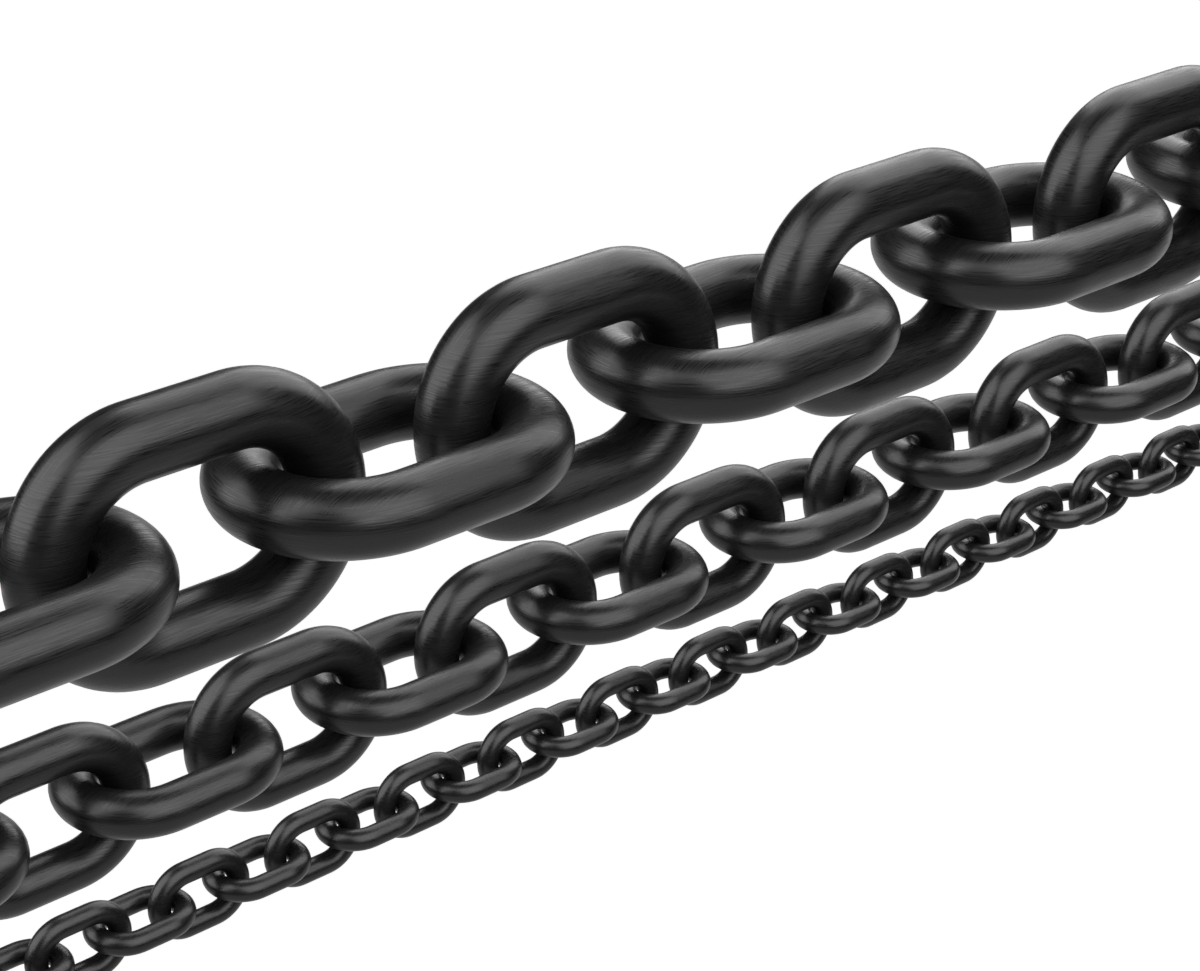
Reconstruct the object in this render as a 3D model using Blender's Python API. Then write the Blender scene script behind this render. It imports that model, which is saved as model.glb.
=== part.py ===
# Three straight lengths of short-link iron chain of three gauges, lying side by side on a floor.
# Every link is one round bar bent to a stadium and closed, and hangs in its neighbours at a right
# angle, so each chain lies on the lower legs of its links with every link leaning 45 degrees.
# Units are metres. +X runs along the chains, +Z is up, the floor is z = 0, and the middle of the
# bounding box stands over the origin.

import math

import bmesh
import bpy
from mathutils import Matrix, Vector

# Bar diameters of the three chains.
LARGE_BAR = 0.035
MEDIUM_BAR = 0.020
SMALL_BAR = 0.0095

# A link's shape in bar diameters: the pitch is the eye's length, the eye's width is 1.7.
PITCH_BARS = 3.0
EYE_WIDTH_BARS = 1.7

# Slack between two links where their crowns meet.
GAP = 0.0003

# Links in each length, about one metre of chain.
LARGE_LINKS = 9
MEDIUM_LINKS = 16
SMALL_LINKS = 34

# Clear floor between the lengths, and how far the first link's outer end stands in from the large
# chain's first end (negative: it stands out past it).
LARGE_TO_MEDIUM = 0.0081
MEDIUM_TO_SMALL = 0.0083
MEDIUM_START = -0.02575
SMALL_START = -0.02715

LEAN = math.radians(45)

# Sides of the bar's section, and steps round a crown, in each gauge.
LARGE_SIDES, LARGE_STEPS = 12, 8
MEDIUM_SIDES, MEDIUM_STEPS = 12, 6
SMALL_SIDES, SMALL_STEPS = 8, 6


def link_size(bar):
    """Crown radius and half the straight length of the bar's centre line."""
    crown = (EYE_WIDTH_BARS + 1) * bar / 2
    straight = (PITCH_BARS * bar + GAP + bar) / 2 - crown
    return crown, straight


def chain_length(bar, count):
    crown, straight = link_size(bar)
    return (count - 1) * PITCH_BARS * bar + 2 * (straight + crown) + bar


def reach(bar, sides):
    """From the chain's axis down to the floor, or out to its side, when its links lean 45 degrees.

    The bar's section has a corner towards the eye, so what a leaning leg lies on is a flat when
    the number of sides is 12 and a corner when it is 8.
    """
    on_a_flat = (sides * 135 / 360) % 1 == 0.5
    return link_size(bar)[0] * math.sin(LEAN) + bar / 2 * (
        math.cos(math.pi / sides) if on_a_flat else 1)


def steel(name, colour, roughness):
    material = bpy.data.materials.new(name)
    material.use_nodes = True
    shader = material.node_tree.nodes["Principled BSDF"]
    shader.inputs["Base Color"].default_value = (*colour, 1)
    shader.inputs["Metallic"].default_value = 1
    shader.inputs["Roughness"].default_value = roughness
    return material


def bent_bar(bar, sides, crown_steps):
    """A closed link lying flat in XY, its long axis on X: two half-round crowns and two legs."""
    crown, straight = link_size(bar)
    bm = bmesh.new()
    section = [
        bm.verts.new((
            straight,
            -crown + math.cos(2 * math.pi * i / sides) * bar / 2,
            math.sin(2 * math.pi * i / sides) * bar / 2,
        ))
        for i in range(sides)
    ]
    ring = [bm.edges.new((section[i], section[(i + 1) % sides])) for i in range(sides)]
    first = list(ring)

    for side in (1, -1):
        bend = bmesh.ops.spin(
            bm, geom=ring, cent=(side * straight, 0, 0), axis=(0, 0, 1),
            angle=math.pi, steps=crown_steps,
        )
        ring = [part for part in bend["geom_last"] if isinstance(part, bmesh.types.BMEdge)]
        if side == 1:
            leg = bmesh.ops.extrude_edge_only(bm, edges=ring)["geom"]
            ring = [part for part in leg if isinstance(part, bmesh.types.BMEdge)
                    and all(v in leg for v in part.verts)]
            ends = [part for part in leg if isinstance(part, bmesh.types.BMVert)]
            bmesh.ops.translate(bm, verts=ends, vec=(-2 * straight, 0, 0))

    bmesh.ops.bridge_loops(bm, edges=first + ring)
    bmesh.ops.recalc_face_normals(bm, faces=bm.faces)
    return bm


def add_chain(name, bar, sides, crown_steps, count, start, middle, material):
    """One node per link. Links lean 45 degrees by turns to either side, and stand one pitch apart."""
    crown, straight = link_size(bar)
    first = start + straight + crown + bar / 2
    for number in range(count):
        bm = bent_bar(bar, sides, crown_steps)
        side = 1 if number % 2 else -1
        place = Vector((first + number * PITCH_BARS * bar, middle, reach(bar, sides)))
        bmesh.ops.transform(
            bm, verts=bm.verts,
            matrix=Matrix.Translation(place) @ Matrix.Rotation(side * LEAN, 4, "X"),
        )
        mesh = bpy.data.meshes.new(f"{name}_{number + 1:02d}")
        bm.to_mesh(mesh)
        bm.free()
        mesh.materials.append(material)
        mesh.shade_smooth()
        link = bpy.data.objects.new(mesh.name, mesh)
        bpy.context.scene.collection.objects.link(link)


for existing in list(bpy.data.objects):
    bpy.data.objects.remove(existing, do_unlink=True)

# The three lengths share a frame whose box is centred on the origin.
starts = {"large": 0.0, "medium": MEDIUM_START, "small": SMALL_START}
ends = {
    "large": chain_length(LARGE_BAR, LARGE_LINKS),
    "medium": MEDIUM_START + chain_length(MEDIUM_BAR, MEDIUM_LINKS),
    "small": SMALL_START + chain_length(SMALL_BAR, SMALL_LINKS),
}
x_shift = -(min(starts.values()) + max(ends.values())) / 2

large_reach = reach(LARGE_BAR, LARGE_SIDES)
medium_reach = reach(MEDIUM_BAR, MEDIUM_SIDES)
small_reach = reach(SMALL_BAR, SMALL_SIDES)
large_y = medium_reach + small_reach + (LARGE_TO_MEDIUM + MEDIUM_TO_SMALL) / 2
medium_y = large_y - large_reach - LARGE_TO_MEDIUM - medium_reach
small_y = medium_y - medium_reach - MEDIUM_TO_SMALL - small_reach

add_chain("large_link", LARGE_BAR, LARGE_SIDES, LARGE_STEPS, LARGE_LINKS,
          starts["large"] + x_shift, large_y,
          steel("large_chain_steel", (0.055, 0.057, 0.060), 0.34))
add_chain("medium_link", MEDIUM_BAR, MEDIUM_SIDES, MEDIUM_STEPS, MEDIUM_LINKS,
          starts["medium"] + x_shift, medium_y,
          steel("medium_chain_steel", (0.055, 0.057, 0.060), 0.36))
add_chain("small_link", SMALL_BAR, SMALL_SIDES, SMALL_STEPS, SMALL_LINKS,
          starts["small"] + x_shift, small_y,
          steel("small_chain_steel", (0.050, 0.052, 0.055), 0.38))
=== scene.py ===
import math

import bpy
from mathutils import Euler, Matrix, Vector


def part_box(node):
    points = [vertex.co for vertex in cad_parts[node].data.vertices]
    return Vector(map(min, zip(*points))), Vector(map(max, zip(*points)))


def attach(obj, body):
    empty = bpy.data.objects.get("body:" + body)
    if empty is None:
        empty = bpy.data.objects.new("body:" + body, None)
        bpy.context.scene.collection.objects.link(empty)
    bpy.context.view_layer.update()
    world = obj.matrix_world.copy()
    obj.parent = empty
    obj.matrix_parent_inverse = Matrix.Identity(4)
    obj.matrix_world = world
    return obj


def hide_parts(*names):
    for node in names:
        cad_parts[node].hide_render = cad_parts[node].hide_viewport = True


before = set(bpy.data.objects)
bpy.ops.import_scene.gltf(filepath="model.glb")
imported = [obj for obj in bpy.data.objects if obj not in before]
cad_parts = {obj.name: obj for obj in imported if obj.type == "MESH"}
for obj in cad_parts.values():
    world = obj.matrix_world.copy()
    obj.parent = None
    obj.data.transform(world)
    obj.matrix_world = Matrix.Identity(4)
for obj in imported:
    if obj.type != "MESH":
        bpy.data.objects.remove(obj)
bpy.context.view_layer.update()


# The camera looks down on the three lengths from their near end and a little from the left, and is
# turned so that they rise to the right. Its place, its turn and its long lens were solved from the
# outlines of the links in the photograph.
camera_data = bpy.data.cameras.new("camera")
camera_data.lens = 82.14
camera_data.sensor_width = 36.0
camera_data.sensor_fit = "HORIZONTAL"
camera = bpy.data.objects.new("camera", camera_data)
camera.location = (-0.83916, -0.22208, 1.04871)
camera.rotation_euler = Euler([math.radians(turn) for turn in (27.421, -26.928, -31.781)])
bpy.context.scene.collection.objects.link(camera)
bpy.context.scene.camera = camera
bpy.context.scene.view_settings.view_transform = "Standard"


# Three lengths of short-link chain. A link is a hot rolled round bar of iron, bent to a stadium and
# forge welded shut. Links are threaded through each other at a right angle, one pitch apart, and
# lean 45 degrees by turns to lie on the floor.
def add_node(tree, kind, inputs=None, **settings):
    """A node with its settings, and its inputs linked to a socket or set to a value."""
    node = tree.nodes.new(kind)
    for name, value in settings.items():
        setattr(node, name, value)
    for socket, value in (inputs or {}).items():
        if isinstance(value, bpy.types.NodeSocket):
            tree.links.new(value, node.inputs[socket])
        else:
            node.inputs[socket].default_value = value
    return node


def link_chain_tree():
    """A row of round-bar links, each leaning the other way than the last."""
    tree = bpy.data.node_groups.new("chain_of_links", "GeometryNodeTree")
    tree.interface.new_socket("Geometry", in_out="INPUT", socket_type="NodeSocketGeometry")
    for name, kind in (
        ("Bar", "Float"), ("Pitch", "Float"), ("Eye Width", "Float"), ("Slack", "Float"),
        ("Links", "Int"), ("Start", "Vector"), ("Lean", "Float"),
        ("Bend Points", "Int"), ("Section Points", "Int"), ("Steel", "Material"),
    ):
        tree.interface.new_socket(name, in_out="INPUT", socket_type="NodeSocket" + kind)
    tree.interface.new_socket("Geometry", in_out="OUTPUT", socket_type="NodeSocketGeometry")
    sizes = add_node(tree, "NodeGroupInput").outputs

    # The middle line of the bar is a circle of the crown's radius, pulled apart at its middle. It
    # starts with far more points than the link keeps, so that the crowns stay round.
    half_bar = add_node(tree, "ShaderNodeMath", {
        0: sizes["Bar"], 1: 0.5}, operation="MULTIPLY").outputs[0]
    crown = add_node(tree, "ShaderNodeMath", {
        0: sizes["Eye Width"], 1: 0.5, 2: half_bar}, operation="MULTIPLY_ADD").outputs[0]
    eye_length = add_node(tree, "ShaderNodeMath", {
        0: sizes["Pitch"], 1: sizes["Slack"]}, operation="ADD").outputs[0]
    half_length = add_node(tree, "ShaderNodeMath", {
        0: eye_length, 1: 0.5, 2: half_bar}, operation="MULTIPLY_ADD").outputs[0]
    straight = add_node(tree, "ShaderNodeMath", {
        0: half_length, 1: crown}, operation="SUBTRACT").outputs[0]
    circle = add_node(tree, "GeometryNodeCurvePrimitiveCircle", {
        "Resolution": 512, "Radius": crown}).outputs["Curve"]
    along = add_node(tree, "ShaderNodeSeparateXYZ", {
        0: add_node(tree, "GeometryNodeInputPosition").outputs[0]}).outputs["X"]
    side = add_node(tree, "ShaderNodeMath", {0: along}, operation="SIGN").outputs[0]
    shift = add_node(tree, "ShaderNodeMath", {
        0: side, 1: straight}, operation="MULTIPLY").outputs[0]
    stadium = add_node(tree, "GeometryNodeSetPosition", {
        "Geometry": circle,
        "Offset": add_node(tree, "ShaderNodeCombineXYZ", {"X": shift}).outputs[0],
    }).outputs[0]
    bend = add_node(tree, "GeometryNodeResampleCurve", {
        "Curve": stadium, "Count": sizes["Bend Points"]}).outputs[0]
    section = add_node(tree, "GeometryNodeCurvePrimitiveCircle", {
        "Resolution": sizes["Section Points"], "Radius": half_bar}).outputs["Curve"]
    link = add_node(tree, "GeometryNodeCurveToMesh", {
        "Curve": bend, "Profile Curve": section}).outputs[0]
    link = add_node(tree, "GeometryNodeSetShadeSmooth", {"Geometry": link}).outputs[0]

    # The links stand in a row, and odd and even ones lean to opposite sides.
    middles = add_node(tree, "GeometryNodeMeshLine", {
        "Count": sizes["Links"],
        "Start Location": sizes["Start"],
        "Offset": add_node(tree, "ShaderNodeCombineXYZ", {"X": sizes["Pitch"]}).outputs[0],
    }).outputs[0]
    odd = add_node(tree, "ShaderNodeMath", {
        0: add_node(tree, "GeometryNodeInputIndex").outputs[0], 1: 2.0,
    }, operation="FLOORED_MODULO").outputs[0]
    turn = add_node(tree, "ShaderNodeMath", {0: odd, 1: 2.0, 2: -1.0},
                    operation="MULTIPLY_ADD").outputs[0]
    lean = add_node(tree, "ShaderNodeMath", {
        0: turn, 1: sizes["Lean"]}, operation="MULTIPLY").outputs[0]
    lean = add_node(tree, "FunctionNodeEulerToRotation", {
        0: add_node(tree, "ShaderNodeCombineXYZ", {"X": lean}).outputs[0]}).outputs[0]
    links = add_node(tree, "GeometryNodeInstanceOnPoints", {
        "Points": middles, "Instance": link, "Rotation": lean}).outputs[0]
    links = add_node(tree, "GeometryNodeStoreNamedAttribute", {
        "Geometry": links, "Name": "link_middle",
        "Value": add_node(tree, "GeometryNodeInputPosition").outputs[0],
    }, data_type="FLOAT_VECTOR", domain="INSTANCE").outputs[0]
    chain = add_node(tree, "GeometryNodeRealizeInstances", {"Geometry": links}).outputs[0]

    # The steel's lines read each point's place in its link, and the way it faces. Both are told in
    # the axes that the links stand in: along the chain and the two directions of their widths.
    middle = add_node(tree, "GeometryNodeInputNamedAttribute", {"Name": "link_middle"},
                      data_type="FLOAT_VECTOR").outputs[0]
    place = add_node(tree, "ShaderNodeVectorMath", {
        0: add_node(tree, "GeometryNodeInputPosition").outputs[0], 1: middle,
    }, operation="SUBTRACT").outputs[0]
    lean_back = add_node(tree, "ShaderNodeMath", {
        0: sizes["Lean"], 1: -1.0}, operation="MULTIPLY").outputs[0]
    grain = add_node(tree, "ShaderNodeVectorRotate", {
        "Vector": place, "Axis": (1.0, 0.0, 0.0), "Angle": lean_back,
    }, rotation_type="AXIS_ANGLE").outputs[0]
    chain = add_node(tree, "GeometryNodeStoreNamedAttribute", {
        "Geometry": chain, "Name": "grain", "Value": grain,
    }, data_type="FLOAT_VECTOR", domain="POINT").outputs[0]
    normal = add_node(tree, "ShaderNodeVectorRotate", {
        "Vector": add_node(tree, "GeometryNodeInputNormal").outputs[0],
        "Axis": (1.0, 0.0, 0.0), "Angle": lean_back,
    }, rotation_type="AXIS_ANGLE").outputs[0]

    # The shares of the three ways to face are fourth powers, so that one turns soon to the next.
    square = add_node(tree, "ShaderNodeVectorMath", {0: normal, 1: normal},
                      operation="MULTIPLY").outputs[0]
    fourth = add_node(tree, "ShaderNodeVectorMath", {0: square, 1: square},
                      operation="MULTIPLY").outputs[0]
    total = add_node(tree, "ShaderNodeVectorMath", {0: square, 1: square},
                     operation="DOT_PRODUCT").outputs["Value"]
    share = add_node(tree, "ShaderNodeMath", {0: 1.0, 1: total}, operation="DIVIDE").outputs[0]
    facing = add_node(tree, "ShaderNodeVectorMath", {0: fourth, "Scale": share},
                      operation="SCALE").outputs[0]
    chain = add_node(tree, "GeometryNodeStoreNamedAttribute", {
        "Geometry": chain, "Name": "facing", "Value": facing,
    }, data_type="FLOAT_VECTOR", domain="POINT").outputs[0]
    chain = add_node(tree, "GeometryNodeSetMaterial", {
        "Geometry": chain, "Material": sizes["Steel"]}).outputs[0]
    add_node(tree, "NodeGroupOutput", {"Geometry": chain})
    return tree


def linear(hex_colour):
    """The linear RGBA of an sRGB colour."""
    channels = [int(hex_colour[i:i + 2], 16) / 255 for i in (1, 3, 5)]
    return [c / 12.92 if c <= 0.04045 else ((c + 0.055) / 1.055) ** 2.4 for c in channels] + [1.0]


# The bar is blackened with an oxide and then brushed along the chain. It is nearly black, with a
# soft metal shine. The brushing leaves smoother and rougher lines side by side, which fray the
# bands of light. Real lines are too fine to show, so these are drawn many times coarser.
def blackened_steel(name, bar):
    """Brushed black steel. Its lines are sized to the bar and follow the links' own axes."""
    spacing = bar / 60  # 0.6 mm on the large chain and 0.16 mm on the small one
    length = bar / 2.2
    relief = bar * 0.002
    low, high = 0.37, 0.63  # the tails of the noise are cut off here
    smoothest, roughest = 0.24, 0.42

    material = bpy.data.materials.new(name)
    material.use_nodes = True
    tree = material.node_tree
    tree.nodes.clear()
    place = add_node(tree, "ShaderNodeSeparateXYZ", {
        0: add_node(tree, "ShaderNodeAttribute", attribute_name="grain").outputs["Vector"],
    }).outputs
    facing = add_node(tree, "ShaderNodeAttribute", attribute_name="facing").outputs["Vector"]

    # One sheet of lines for each way the surface can face: an end, the top or a side.
    sheets = {}
    for facing_axis, along, across, seed in (
        ("X", "Z", "Y", 0.0),
        ("Y", "X", "Z", 9.0),
        ("Z", "X", "Y", 18.0),
    ):
        flat = add_node(tree, "ShaderNodeCombineXYZ", {
            "X": place[along], "Y": place[across], "Z": seed}).outputs[0]
        drawn_out = add_node(tree, "ShaderNodeVectorMath", {
            0: flat, 1: (1 / length, 1 / spacing, 1.0)}, operation="MULTIPLY").outputs[0]
        sheets[facing_axis] = add_node(tree, "ShaderNodeTexNoise", {
            "Vector": drawn_out, "Scale": 1.0, "Detail": 1.5, "Roughness": 0.5}).outputs[0]
    lines = add_node(tree, "ShaderNodeVectorMath", {
        0: add_node(tree, "ShaderNodeCombineXYZ", sheets).outputs[0], 1: facing,
    }, operation="DOT_PRODUCT").outputs["Value"]
    bump = add_node(tree, "ShaderNodeBump", {
        "Height": lines, "Distance": relief, "Strength": 1.0}).outputs[0]
    roughness = add_node(tree, "ShaderNodeMapRange", {
        "Value": lines, "From Min": low, "From Max": high,
        "To Min": smoothest, "To Max": roughest}).outputs[0]
    steel = add_node(tree, "ShaderNodeBsdfPrincipled", {
        "Base Color": linear("#383838"),
        "Metallic": 0.86,
        "Roughness": roughness,
        "Normal": bump,
    }).outputs["BSDF"]
    add_node(tree, "ShaderNodeOutputMaterial", {"Surface": steel})
    return material


def lay_chain(name, cad_nodes, bar, points_along, points_round):
    """One length of chain, with its links where the frame's links of that gauge are."""
    boxes = [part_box(node) for node in cad_nodes]
    first, last = boxes[0], boxes[-1]
    pitch = (last[0].x - first[0].x) / (len(cad_nodes) - 1)
    sizes = {
        "Bar": bar,
        "Pitch": pitch,
        "Eye Width": 1.7 * bar,
        "Slack": first[1].x - first[0].x - 2 * bar - pitch,
        "Links": len(cad_nodes),
        "Start": (first[0] + first[1]) / 2,
        "Lean": link_lean,
        "Bend Points": points_along,
        "Section Points": points_round,
        "Steel": blackened_steel(name + "_blackened_brushed_steel", bar),
    }
    maker = bpy.data.objects.new(name + "_maker", bpy.data.meshes.new(name + "_maker"))
    bpy.context.scene.collection.objects.link(maker)
    modifier = maker.modifiers.new("links", "NODES")
    modifier.node_group = chain_tree
    for socket in chain_tree.interface.items_tree:
        if socket.in_out == "INPUT" and socket.name in sizes:
            modifier[socket.identifier] = sizes[socket.name]
    maker.update_tag()
    mesh = bpy.data.meshes.new_from_object(
        maker.evaluated_get(bpy.context.evaluated_depsgraph_get()))
    mesh.name = name
    mesh.materials.pop(index=0)  # the empty slot that stands before the steel
    maker.modifiers.remove(modifier)
    bpy.data.objects.remove(maker)
    chain = bpy.data.objects.new(name, mesh)
    bpy.context.scene.collection.objects.link(chain)
    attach(chain, "root")
    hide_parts(*cad_nodes)
    return chain


link_lean = math.radians(45)
chain_tree = link_chain_tree()
chains = []
for gauge, bar, points_along, points_round in (
    ("large", 0.035, 144, 48),
    ("medium", 0.020, 112, 32),
    ("small", 0.0095, 72, 24),
):
    links = sorted(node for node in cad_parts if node.startswith(gauge + "_link"))
    chains.append(lay_chain(gauge + "_chain", links, bar, points_along, points_round))


# The floor is a plain white backdrop that glows like a light table. Only the camera sees it, so
# that the steel mirrors the soft boxes all round, also those under it, as if it hung free.
floor_reach = 40.0
floor_height = -0.0007  # the round bars reach 0.6 mm below the solids' flats
floor_corners = [(x * floor_reach, y * floor_reach, floor_height)
                 for x, y in ((-1, -1), (1, -1), (1, 1), (-1, 1))]
floor_mesh = bpy.data.meshes.new("floor")
floor_mesh.from_pydata(floor_corners, [], [(0, 1, 2, 3)])
floor = bpy.data.objects.new("floor", floor_mesh)
bpy.context.scene.collection.objects.link(floor)
white = bpy.data.materials.new("glowing_white_floor")
white.use_nodes = True
white_shader = white.node_tree.nodes["Principled BSDF"]
white_shader.inputs["Base Color"].default_value = (0.9, 0.9, 0.9, 1.0)
white_shader.inputs["Roughness"].default_value = 0.9
white_shader.inputs["Emission Color"].default_value = (1.0, 1.0, 1.0, 1.0)
white_shader.inputs["Emission Strength"].default_value = 1.0
floor_mesh.materials.append(white)
floor.visible_glossy = False
floor.visible_diffuse = False
floor.visible_shadow = False


# Three soft boxes stand round the chain and a large weak one lies under it. The ring of boxes is
# turned with the links, which stand upright and flat in the photograph and lean here. Each length
# has its own four boxes, because none shades the next in the photograph.
studio = Matrix.Rotation(-link_lean, 4, "X")
distance = 3.0
for chain in chains:
    alone = bpy.data.collections.new(chain.name + "_alone")
    alone.objects.link(chain)
    # Angles are in degrees, and the half sizes are those of a box one metre away.
    for name, azimuth, elevation, half_width, half_height, brightness in (
        ("left_box", -115.6, 33.0, 0.607, 0.630, 3.10),
        ("front_box", -1.3, 39.1, 0.605, 0.577, 2.88),
        ("back_box", 114.1, 38.3, 0.631, 0.554, 2.94),
        ("lower_box", 128.2, -83.7, 2.713, 7.46, 0.63),
    ):
        light_data = bpy.data.lights.new(f"{chain.name}_{name}", "AREA")
        light_data.shape = "RECTANGLE"
        light_data.size = 2 * half_width * distance
        light_data.size_y = 2 * half_height * distance
        light_data.energy = brightness * math.pi * light_data.size * light_data.size_y
        light = bpy.data.objects.new(f"{chain.name}_{name}", light_data)
        light.matrix_world = (
            studio
            @ Matrix.Rotation(math.radians(azimuth), 4, "Z")
            @ Matrix.Rotation(math.radians(90 - elevation), 4, "X")
            @ Matrix.Translation((0, 0, distance))
        )
        light.visible_camera = False
        light.light_linking.receiver_collection = alone
        light.light_linking.blocker_collection = alone
        bpy.context.scene.collection.objects.link(light)

# The world around adds only a trace of light.
world = bpy.data.worlds.new("studio")
bpy.context.scene.world = world
world.use_nodes = True
world.node_tree.nodes["Background"].inputs["Color"].default_value = (1, 1, 1, 1)
world.node_tree.nodes["Background"].inputs["Strength"].default_value = 0.02
